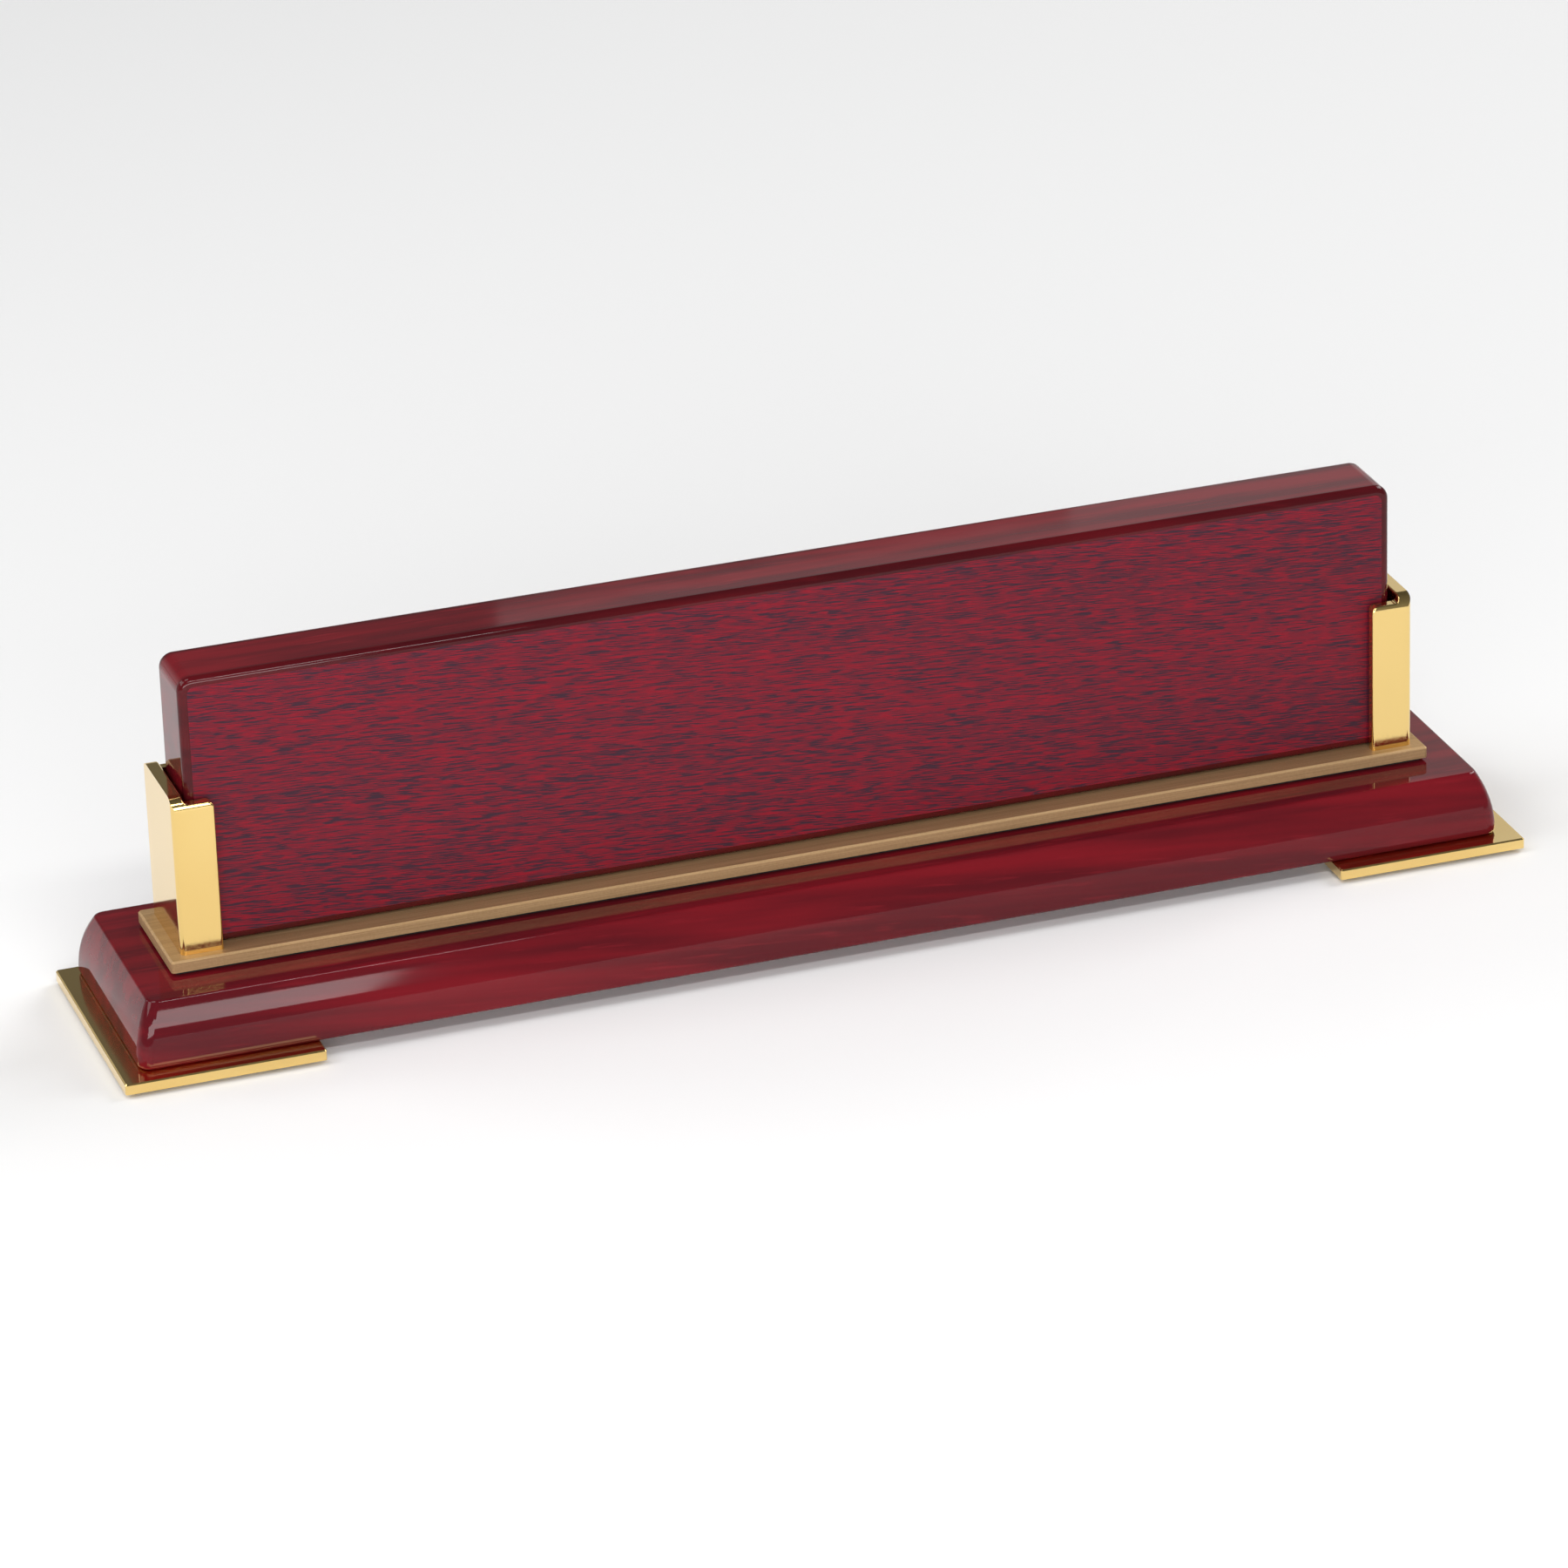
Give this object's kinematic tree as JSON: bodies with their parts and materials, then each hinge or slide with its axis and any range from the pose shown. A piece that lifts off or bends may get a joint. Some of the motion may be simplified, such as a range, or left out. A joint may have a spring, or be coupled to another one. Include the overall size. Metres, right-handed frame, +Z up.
{
  "type": "desk name plaque",
  "caption": "Free-standing wooden name plaque: a round-edged panel that lifts out of two brass U uprights on a brass deck and a moulded wooden base with brass foot plates.",
  "frame": {"origin": "on the surface it stands on, midway between the two foot plates along the plaque and midway from their front edges to their back edges", "axes": "+X along the plaque to the reader's right, -Y towards the reader, +Z up"},
  "size_m": [0.269, 0.051, 0.0694],
  "materials": {
    "lacquered_rosewood": "clear gloss lacquer over red-brown rosewood",
    "satin_rosewood_veneer": "satin lacquer over red rosewood grain with fine dark streaks along the length",
    "brushed_brass": "fine lengthwise brushed",
    "polished_brass": "bright polished",
    "dark_felt": "thin dark felt",
    "channel_felt": "thin black felt",
    "foam_tape": "black foam tape",
    "brass_screw": "plain machined",
    "steel_screw": "bright zinc plated"
  },
  "bodies": {
    "stand": {"base_board": "lacquered_rosewood", "deck_plate": "brushed_brass", "deck_mounting_tape": "foam_tape", "upright_screws": "brass_screw", "deck_screws": "brass_screw", "foot_plate_screws": "steel_screw", "left_upright": "polished_brass", "left_channel_liner": "channel_felt", "left_foot_plate": "polished_brass", "left_foot_pad": "dark_felt", "right_upright": "polished_brass", "right_channel_liner": "channel_felt", "right_foot_plate": "polished_brass", "right_foot_pad": "dark_felt"},
    "panel": {"panel_core": "lacquered_rosewood", "panel_front_veneer": "satin_rosewood_veneer", "panel_back_veneer": "satin_rosewood_veneer"}
  },
  "joints": [
    {"name": "panel_lift", "type": "slide", "parent": "stand", "child": "panel", "axis": [0, 0, 1], "range_m": [0, 0.032]}
  ]
}
